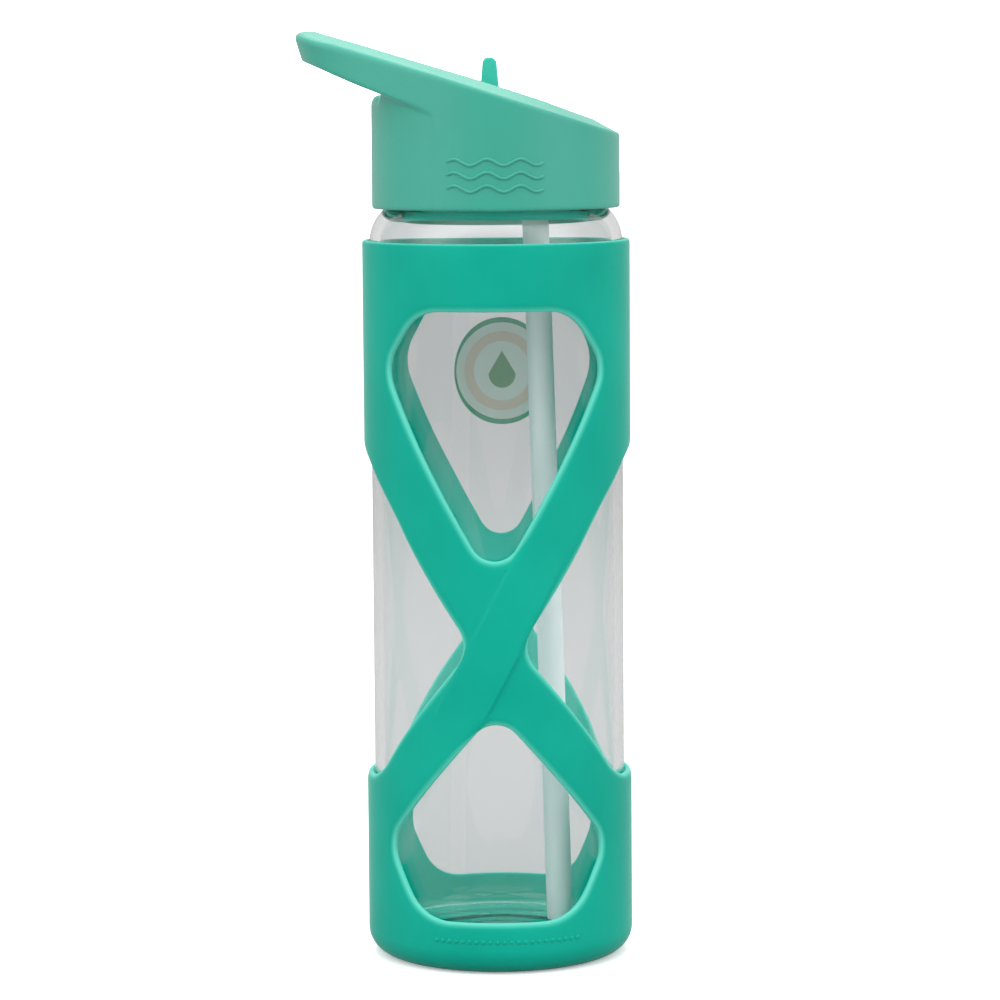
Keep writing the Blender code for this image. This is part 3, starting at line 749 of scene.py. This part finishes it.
def roof():
    """Everything above the ring's top face, which rises from its rounded outer edge to its inner one."""
    steps = 6
    rings = [[] for _ in range(steps + 4)]
    for edge_xy, crest_xy in zip(teardrop(LID_R, LOOP_TIP_R), teardrop(OPENING_R, OPENING_TIP_R)):
        edge = Vector((*edge_xy, loop_edge_height(*edge_xy)))
        high = Vector((*crest_xy, crest_height(crest_xy[0])))
        out = Vector((edge.x - high.x, edge.y - high.y, 0.0)).normalized()
        at_tip = smoothstep(38 * MM, 50 * MM, -edge.x)
        radius = EDGE_R + (TIP_EDGE_R - EDGE_R) * at_tip
        start = edge - (edge - high).normalized() * radius
        rings[0].append(high)
        for k in range(steps + 1):
            angle = math.radians(90 * k / steps)
            fall = Vector((0.0, 0.0, radius * (1 - math.cos(angle))))
            rings[k + 1].append(start + out * radius * math.sin(angle) - fall)
        low = rings[steps + 1][-1] + out * 8 * MM
        rings[steps + 2].append(low)
        rings[steps + 3].append(Vector((low.x, low.y, 262 * MM)))
    return loft(rings)


def under_loop():
    """The space under the loop outside the lid's round wall, whose edge inside the loop is rounded."""
    far_r, bottom, columns, start = 62 * MM, 190 * MM, 96, 119.5
    rings = []
    for k in range(columns + 1):
        angle = start + (360.0 - 2 * start) * k / columns
        off_lip = abs(angle - 180.0) - LIP_HALF_ANGLE
        edge_r = 0.3 * MM + (LIP_EDGE_R - 0.3 * MM) * (1 - smoothstep(-3.0, 3.0, off_lip))
        cosine, sine = math.cos(math.radians(angle)), math.sin(math.radians(angle))
        section = [(far_r, bottom), (far_r, ramp_height(far_r * cosine) + UNDER_LOOP_RISE)]
        for a, b in arc((UNDER_LOOP_R - edge_r, UNDER_LOOP_RISE - edge_r), edge_r, 90, 0, 10):
            section.append((a, ramp_height(a * cosine) + b))
        section.append((UNDER_LOOP_R, bottom))
        rings.append([(r * cosine, r * sine, z) for r, z in section])
    return loft(rings)


def lean_tip(mesh):
    """The loop's end wall leans outwards a little, towards its top."""
    for vert in mesh.vertices:
        share = smoothstep(34 * MM, 52 * MM, -vert.co.x)
        height = (vert.co.z - ramp_height(vert.co.x)) / (7 * MM)
        vert.co.x -= share * (TIP_LEAN * min(1.0, max(0.0, height)) - TIP_SET_IN)


def make_lid_shell():
    ramp_end = (DECK_FLAT_Z - DECK_Z) / DECK_SLOPE
    shell = prism(teardrop(LID_R, LOOP_TIP_R), LID_BOTTOM, LID_TOP)
    combine(shell, "DIFFERENCE", roof())
    combine(shell, "DIFFERENCE", under_loop())
    opening = prism(teardrop(OPENING_R, OPENING_TIP_R),
                    lambda x: max(ramp_height(x), DECK_FLAT_Z), LID_TOP + 5 * MM, creases=[ramp_end])
    combine(shell, "DIFFERENCE", opening)
    bore = prism(arc((0.0, 0.0), SKIRT_INNER_R, 0, 357.5, 143), LID_BOTTOM - 5 * MM,
                 DECK_FLAT_Z - DECK_THICKNESS)
    combine(shell, "DIFFERENCE", bore)
    ends = math.degrees(math.acos(HOLLOW_RIGHT / HOLLOW_R))
    hollow = prism(arc((0.0, 0.0), HOLLOW_R, ends, 360.0 - ends, 60),
                   DECK_FLAT_Z - DECK_THICKNESS - 3 * MM,
                   lambda x: ramp_height(x) - RAMP_THICKNESS)
    combine(shell, "DIFFERENCE", hollow)
    combine(shell, "DIFFERENCE", prism(slot_outline(), 205 * MM, LID_TOP))
    soften(shell, 0.42 * MM, 9, 0.5)
    lean_tip(shell.data)
    shell.name = "ring_lid"
    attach(shell, "lid")
    shell.data.materials.clear()
    shell.data.materials.append(bpy.data.materials["teal_plastic"])
    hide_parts("lid_shell")


def add_tube(verts, faces, path, radius, sides=10):
    """A round bar along a path of (point, outward direction)."""
    rows = []
    for i, (point, out) in enumerate(path):
        ahead = path[min(i + 1, len(path) - 1)][0] - path[max(i - 1, 0)][0]
        side = ahead.normalized().cross(out)
        fade = min(1.0, 0.25 + min(i, len(path) - 1 - i) / 3)
        rows.append([point + (out * math.sin(TWO_PI * k / sides)
                              + side * math.cos(TWO_PI * k / sides)) * radius * fade
                     for k in range(sides)])
    start = len(verts)
    add_rows(verts, faces, rows, False)
    faces.append(tuple(start + k for k in range(sides)))
    last = start + (len(rows) - 1) * sides
    faces.append(tuple(last + k for k in range(sides)))


def make_waves():
    """Three raised waves on the front of the lid."""
    verts, faces = [], []
    for level in (-1, 0, 1):
        path = []
        for k in range(97):
            across = (k / 96 - 0.5) * WAVE_WIDTH
            around = across / LID_R
            rise = WAVE_HEIGHT * math.sin(3 * TWO_PI * k / 96)
            out = Vector((math.sin(around), -math.cos(around), 0.0))
            height = WAVE_Z + level * WAVE_SPACING + rise
            path.append((out * LID_R + Vector((0.0, 0.0, height)), out))
        add_tube(verts, faces, path, WAVE_R)
    waves = new_object("lid_waves", mesh_from("waves", verts, faces), "lid")
    waves.data.materials.append(bpy.data.materials["teal_plastic"])


def make_dots():
    """A row of low round dots near the sleeve's foot."""
    verts, faces, sides = [], [], 16
    for i in range(DOT_COUNT):
        middle = DOT_X + (i - (DOT_COUNT - 1) / 2) * DOT_SPACING
        start = len(verts)
        rows = []
        for share, height in ((1.0, -0.3), (1.0, 0.0), (0.85, 0.17), (0.5, 0.29), (0.15, 0.33)):
            rows.append([place(middle + DOT_R * share * math.cos(TWO_PI * k / sides),
                               DOT_Z + DOT_R * share * math.sin(TWO_PI * k / sides),
                               SLEEVE_R + height * MM) for k in range(sides)])
        add_rows(verts, faces, rows, False)
        faces.append(tuple(start + k for k in range(sides)))
        faces.append(tuple(start + 4 * sides + k for k in range(sides)))
    dots = new_object("foot_dots", mesh_from("dots", verts, faces), "bottle")
    dots.data.materials.append(bpy.data.materials["teal_silicone"])


def make_spout():
    lever = softened_copy("spout_lever", 0.24 * MM, 5, "spout")
    lever.data.materials.clear()
    # Painted lighter than the lid's plastic, to stand in for the light that the ring shades off the
    # lever.
    lever.data.materials.append(plastic_material("teal_plastic_lever_lit", LEVER_TEAL_LIT))
    tip = softened_copy("spout_tip", 0.22 * MM, 4, "spout")
    tip.data.materials.clear()
    tip.data.materials.append(bpy.data.materials["pale_silicone"])


# ---------------------------------------------------------------- materials

class Nodes:
    """Short calls for building one material's node tree."""

    def __init__(self, name):
        self.material = bpy.data.materials.new(name)
        self.material.use_nodes = True
        self.tree = self.material.node_tree
        self.shader = self.tree.nodes["Principled BSDF"]

    def add(self, kind, **settings):
        node = self.tree.nodes.new(kind)
        for key, value in settings.items():
            setattr(node, key, value)
        return node

    def link(self, a, b):
        self.tree.links.new(a, b)

    def noise(self, scale, detail=3.0, roughness=0.5):
        coords = self.add("ShaderNodeTexCoord")
        noise = self.add("ShaderNodeTexNoise")
        noise.inputs["Scale"].default_value = scale
        noise.inputs["Detail"].default_value = detail
        noise.inputs["Roughness"].default_value = roughness
        self.link(coords.outputs["Object"], noise.inputs["Vector"])
        return noise.outputs["Fac"]

    def spread(self, value, low, high, from_low=0.3, from_high=0.7):
        ranged = self.add("ShaderNodeMapRange")
        ranged.inputs["From Min"].default_value = from_low
        ranged.inputs["From Max"].default_value = from_high
        ranged.inputs["To Min"].default_value = low
        ranged.inputs["To Max"].default_value = high
        self.link(value, ranged.inputs["Value"])
        return ranged.outputs["Result"]

    def mixed(self, fac, first, second):
        mix = self.add("ShaderNodeMix", data_type="RGBA")
        mix.inputs["A"].default_value = (*first, 1.0)
        mix.inputs["B"].default_value = (*second, 1.0)
        self.link(fac, mix.inputs["Factor"])
        return mix.outputs["Result"]

    def bump(self, height, strength, distance, normal=None):
        bump = self.add("ShaderNodeBump")
        bump.inputs["Strength"].default_value = strength
        bump.inputs["Distance"].default_value = distance
        self.link(height, bump.inputs["Height"])
        if normal:
            self.link(normal, bump.inputs["Normal"])
        return bump.outputs["Normal"]


def beside_openings(nodes):
    """Where the painted edge highlight goes: 1 where the sleeve's wall is rounded off, 0 on its face and
    on its foot.
    """
    coords = nodes.add("ShaderNodeTexCoord")
    flat = nodes.add("ShaderNodeMapping")
    flat.inputs["Scale"].default_value = (1.0, 1.0, 0.0)
    length = nodes.add("ShaderNodeVectorMath", operation="LENGTH")
    split = nodes.add("ShaderNodeSeparateXYZ")
    both = nodes.add("ShaderNodeMath", operation="MULTIPLY")
    nodes.link(coords.outputs["Object"], flat.inputs["Vector"])
    nodes.link(flat.outputs["Vector"], length.inputs[0])
    nodes.link(coords.outputs["Object"], split.inputs[0])
    rounded_off = nodes.spread(length.outputs["Value"], 1.0, 0.0,
                               SLEEVE_R - 0.45 * MM, SLEEVE_R - 0.08 * MM)
    above_foot = nodes.spread(split.outputs["Z"], 0.0, 1.0, 7 * MM, 11 * MM)
    nodes.link(rounded_off, both.inputs[0])
    nodes.link(above_foot, both.inputs[1])
    return both.outputs[0]


def silicone_material(name, colour, roughness=0.5, edge_highlight=None):
    """Moulded silicone: a soft sheen, faint mottling, a very fine grain and, when edge_highlight is
    given, a painted highlight on the rounded edges.
    """
    nodes = Nodes(name)
    darker = tuple(c * 0.93 for c in colour)
    lighter = tuple(min(1.0, c * 1.05 + 0.002) for c in colour)
    cloudy = nodes.spread(nodes.noise(35.0, 4.0), 0.0, 1.0)
    surface = nodes.mixed(cloudy, darker, lighter)
    # Painted highlight: the rounded edges beside the openings are painted paler.
    if edge_highlight:
        highlighted = nodes.add("ShaderNodeMix", data_type="RGBA")
        highlighted.inputs["B"].default_value = (*edge_highlight, 1.0)
        nodes.link(beside_openings(nodes), highlighted.inputs["Factor"])
        nodes.link(surface, highlighted.inputs["A"])
        surface = highlighted.outputs["Result"]
    nodes.link(surface, nodes.shader.inputs["Base Color"])
    fine = nodes.noise(2600.0, 2.0)
    nodes.link(nodes.spread(fine, roughness - 0.05, roughness + 0.06),
               nodes.shader.inputs["Roughness"])
    nodes.link(nodes.bump(fine, 0.12, 0.00005), nodes.shader.inputs["Normal"])
    nodes.shader.inputs["Sheen Weight"].default_value = 0.3
    nodes.shader.inputs["Sheen Roughness"].default_value = 0.28
    nodes.shader.inputs["Sheen Tint"].default_value = (0.85, 1.0, 0.97, 1.0)
    nodes.shader.inputs["Specular IOR Level"].default_value = 0.1
    return nodes.material


def plastic_material(name, colour, roughness=0.42):
    """Injection-moulded plastic with a fine spark-eroded texture."""
    nodes = Nodes(name)
    darker = tuple(c * 0.95 for c in colour)
    lighter = tuple(min(1.0, c * 1.04 + 0.001) for c in colour)
    cloudy = nodes.spread(nodes.noise(28.0, 3.0), 0.0, 1.0)
    nodes.link(nodes.mixed(cloudy, darker, lighter), nodes.shader.inputs["Base Color"])
    grain = nodes.noise(1900.0, 2.0)
    nodes.link(nodes.spread(grain, roughness - 0.04, roughness + 0.06),
               nodes.shader.inputs["Roughness"])
    nodes.link(nodes.bump(grain, 0.22, 0.00006), nodes.shader.inputs["Normal"])
    nodes.shader.inputs["Specular IOR Level"].default_value = 0.5
    nodes.shader.inputs["Sheen Weight"].default_value = 0.15
    nodes.shader.inputs["Sheen Roughness"].default_value = 0.5
    return nodes.material


def glass_material():
    """Clear container glass with faint drawn streaks.  Shadow and diffuse rays pass straight through."""
    nodes = Nodes("clear_glass")
    shader = nodes.shader
    shader.inputs["Base Color"].default_value = (0.93, 0.945, 0.945, 1.0)
    shader.inputs["Transmission Weight"].default_value = 1.0
    shader.inputs["IOR"].default_value = 1.5
    coords = nodes.add("ShaderNodeTexCoord")
    stretch = nodes.add("ShaderNodeMapping")
    stretch.inputs["Scale"].default_value = (1.0, 1.0, 0.08)
    streaks = nodes.add("ShaderNodeTexNoise")
    streaks.inputs["Scale"].default_value = 70.0
    nodes.link(coords.outputs["Object"], stretch.inputs["Vector"])
    nodes.link(stretch.outputs["Vector"], streaks.inputs["Vector"])
    nodes.link(nodes.spread(streaks.outputs["Fac"], 0.0, 0.02), shader.inputs["Roughness"])
    nodes.link(nodes.bump(streaks.outputs["Fac"], 0.05, 0.0004), shader.inputs["Normal"])
    clear = nodes.add("ShaderNodeBsdfTransparent")
    clear.inputs["Color"].default_value = (0.97, 0.98, 0.98, 1.0)
    path = nodes.add("ShaderNodeLightPath")
    lighting = nodes.add("ShaderNodeMath", operation="MAXIMUM")
    nodes.link(path.outputs["Is Shadow Ray"], lighting.inputs[0])
    nodes.link(path.outputs["Is Diffuse Ray"], lighting.inputs[1])
    mix = nodes.add("ShaderNodeMixShader")
    nodes.link(lighting.outputs[0], mix.inputs["Fac"])
    nodes.link(shader.outputs["BSDF"], mix.inputs[1])
    nodes.link(clear.outputs["BSDF"], mix.inputs[2])
    nodes.link(mix.outputs["Shader"], nodes.tree.nodes["Material Output"].inputs["Surface"])
    return nodes.material


def frosted_material():
    """Cloudy straw plastic that lets some light through."""
    nodes = Nodes("frosted_plastic")
    shader = nodes.shader
    cloudy = nodes.spread(nodes.noise(90.0, 3.0), 0.0, 1.0)
    colour = nodes.mixed(cloudy, (0.80, 0.88, 0.89), (0.85, 0.92, 0.92))
    nodes.link(colour, shader.inputs["Base Color"])
    nodes.link(nodes.spread(nodes.noise(700.0, 2.0), 0.34, 0.46), shader.inputs["Roughness"])
    nodes.link(nodes.bump(nodes.noise(300.0, 2.0), 0.15, 0.0001), shader.inputs["Normal"])
    shader.inputs["Transmission Weight"].default_value = 0.12
    shader.inputs["IOR"].default_value = 1.45
    return nodes.material


def sticker_material():
    """Pale label with a green rim, a peach ring and a green drop in the middle."""
    nodes = Nodes("label_paper")

    def math_node(operation, first, second=None):
        node = nodes.add("ShaderNodeMath", operation=operation)
        for socket, value in zip(node.inputs, (first, second)):
            if value is None:
                continue
            if isinstance(value, float):
                socket.default_value = value
            else:
                nodes.link(value, socket)
        return node.outputs[0]

    coords = nodes.add("ShaderNodeTexCoord")
    split = nodes.add("ShaderNodeSeparateXYZ")
    nodes.link(coords.outputs["Object"], split.inputs[0])
    x = math_node("SUBTRACT", split.outputs["X"], STICKER_X)
    z = math_node("SUBTRACT", split.outputs["Z"], STICKER_Z)
    reach = math_node("SQRT", math_node("ADD", math_node("MULTIPLY", x, x),
                                        math_node("MULTIPLY", z, z)))
    drop_z = math_node("SUBTRACT", z, -0.8 * MM)
    narrowing = math_node("MULTIPLY", math_node("MAXIMUM", drop_z, 0.0), 0.62)
    width = math_node("SUBTRACT", 3.9 * MM, narrowing)
    low = math_node("MINIMUM", drop_z, 0.0)
    across = math_node("SQRT", math_node("ADD", math_node("MULTIPLY", x, x),
                                         math_node("MULTIPLY", low, low)))
    in_drop = math_node("LESS_THAN", across, width)
    colour = nodes.mixed(nodes.spread(nodes.noise(500.0), 0.0, 1.0),
                         (0.93, 0.90, 0.86), (0.97, 0.94, 0.90))

    def over(mask, paint, below):
        mix = nodes.add("ShaderNodeMix", data_type="RGBA")
        nodes.link(mask, mix.inputs["Factor"])
        nodes.link(below, mix.inputs["A"])
        mix.inputs["B"].default_value = (*paint, 1.0)
        return mix.outputs["Result"]

    def band(low_r, high_r):
        return math_node("MULTIPLY", math_node("GREATER_THAN", reach, low_r),
                         math_node("LESS_THAN", reach, high_r))

    colour = over(band(13.3 * MM, 14.7 * MM), (0.06, 0.45, 0.27), colour)
    colour = over(band(8.2 * MM, 10.9 * MM), (0.93, 0.70, 0.60), colour)
    colour = over(in_drop, (0.16, 0.40, 0.20), colour)
    nodes.link(colour, nodes.shader.inputs["Base Color"])
    nodes.shader.inputs["Roughness"].default_value = 0.6
    nodes.link(nodes.bump(nodes.noise(1500.0), 0.2, 0.00005), nodes.shader.inputs["Normal"])
    return nodes.material


# ---------------------------------------------------------------- light, floor and camera

def make_camera():
    data = bpy.data.cameras.new("camera")
    data.lens = LENS
    data.sensor_width = 36.0
    data.clip_start, data.clip_end = 0.05, 20.0
    camera = bpy.data.objects.new("camera", data)
    bpy.context.scene.collection.objects.link(camera)
    camera.location = (CAMERA_SIDE, -CAMERA_DISTANCE, CAMERA_HEIGHT)
    roll = Matrix.Rotation(math.radians(CAMERA_ROLL), 3, "Z")
    pitch = Matrix.Rotation(math.radians(90 - CAMERA_PITCH), 3, "X")
    camera.rotation_euler = (pitch @ roll).to_euler()
    bpy.context.scene.camera = camera


def make_floor():
    """A plain pale floor: white to the camera, and light grey where it shows through the glass."""
    bm = bmesh.new()
    bmesh.ops.create_circle(bm, cap_ends=True, segments=96, radius=9.0)
    bmesh.ops.translate(bm, verts=bm.verts, vec=(0.0, 0.0, SLEEVE_BASE))
    mesh = bpy.data.meshes.new("floor")
    bm.to_mesh(mesh)
    bm.free()
    floor = new_object("floor", mesh)
    nodes = Nodes("pale_paper")
    white = nodes.mixed(nodes.noise(8.0), (0.93, 0.93, 0.93), (0.96, 0.96, 0.96))
    mix = nodes.add("ShaderNodeMix", data_type="RGBA")
    mix.inputs["A"].default_value = (FLOOR_GREY, FLOOR_GREY, FLOOR_GREY, 1.0)
    nodes.link(white, mix.inputs["B"])
    path = nodes.add("ShaderNodeLightPath")
    nodes.link(path.outputs["Is Camera Ray"], mix.inputs["Factor"])
    nodes.link(mix.outputs["Result"], nodes.shader.inputs["Base Color"])
    glow = nodes.spread(path.outputs["Is Camera Ray"], 0.0, 0.3, 0.0, 1.0)
    nodes.link(glow, nodes.shader.inputs["Emission Strength"])
    nodes.shader.inputs["Emission Color"].default_value = (1.0, 1.0, 1.0, 1.0)
    nodes.shader.inputs["Roughness"].default_value = 0.9
    nodes.shader.inputs["Specular IOR Level"].default_value = 0.1
    floor.data.materials.append(nodes.material)


def add_area_light(name, location, target, size, power):
    data = bpy.data.lights.new(name, "AREA")
    data.energy = power
    data.shape = "RECTANGLE"
    data.size = size
    data.size_y = size
    light = bpy.data.objects.new(name, data)
    bpy.context.scene.collection.objects.link(light)
    light.location = location
    aim = Vector(target) - Vector(location)
    light.rotation_mode = "QUATERNION"
    light.rotation_quaternion = aim.to_track_quat("-Z", "Y")


def make_light():
    world = bpy.data.worlds.new("studio")
    bpy.context.scene.world = world
    world.use_nodes = True
    tree = world.node_tree
    background = tree.nodes["Background"]
    background.inputs["Strength"].default_value = BRIGHTEST
    coords = tree.nodes.new("ShaderNodeTexCoord")
    split = tree.nodes.new("ShaderNodeSeparateXYZ")
    tree.links.new(coords.outputs["Generated"], split.inputs[0])
    ranged = tree.nodes.new("ShaderNodeMapRange")
    ranged.inputs["From Min"].default_value = -1.0
    tree.links.new(split.outputs["Y"], ranged.inputs["Value"])
    ramp = tree.nodes.new("ShaderNodeValToRGB")
    stops = ramp.color_ramp.elements
    while len(stops) < len(STUDIO):
        stops.new(0.5)
    for stop, (y, light) in zip(stops, STUDIO):
        stop.position = (y + 1) / 2
    for stop, (y, light) in zip(stops, STUDIO):
        stop.color = (light / BRIGHTEST, light / BRIGHTEST, light / BRIGHTEST, 1.0)
    tree.links.new(ranged.outputs["Result"], ramp.inputs["Fac"])
    path = tree.nodes.new("ShaderNodeLightPath")
    mix = tree.nodes.new("ShaderNodeMix")
    mix.data_type = "RGBA"
    mix.inputs["B"].default_value = (1.0, 1.0, 1.0, 1.0)
    tree.links.new(path.outputs["Is Camera Ray"], mix.inputs["Factor"])
    tree.links.new(ramp.outputs["Color"], mix.inputs["A"])
    tree.links.new(mix.outputs["Result"], background.inputs["Color"])
    add_area_light("top_softbox", (0.0, 0.45, 1.1), (0.0, 0.0, 0.12), 1.0, 8.0)
    scene = bpy.context.scene
    scene.view_settings.view_transform = "Standard"
    scene.view_settings.look = "None"


# ---------------------------------------------------------------- the whole bottle

def paint(node, material):
    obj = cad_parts[node]
    obj.data.materials.clear()
    obj.data.materials.append(material)


make_camera()
make_light()
make_floor()
plastic_material("teal_plastic", LID_TEAL)
pale = silicone_material("pale_silicone", (0.70, 0.74, 0.73))
make_sleeve()
make_glass()
make_straw()
make_sticker()
make_lid_shell()
make_waves()
make_dots()
make_spout()
# The insert is painted lighter than the lid, to stand in for light in the shade under the skirt.
paint("lid_insert", plastic_material("teal_plastic_inside_lit", LID_TEAL_INSIDE_LIT))
for node in ("rim_gasket", "straw_seal", "vent_valve"):
    paint(node, pale)
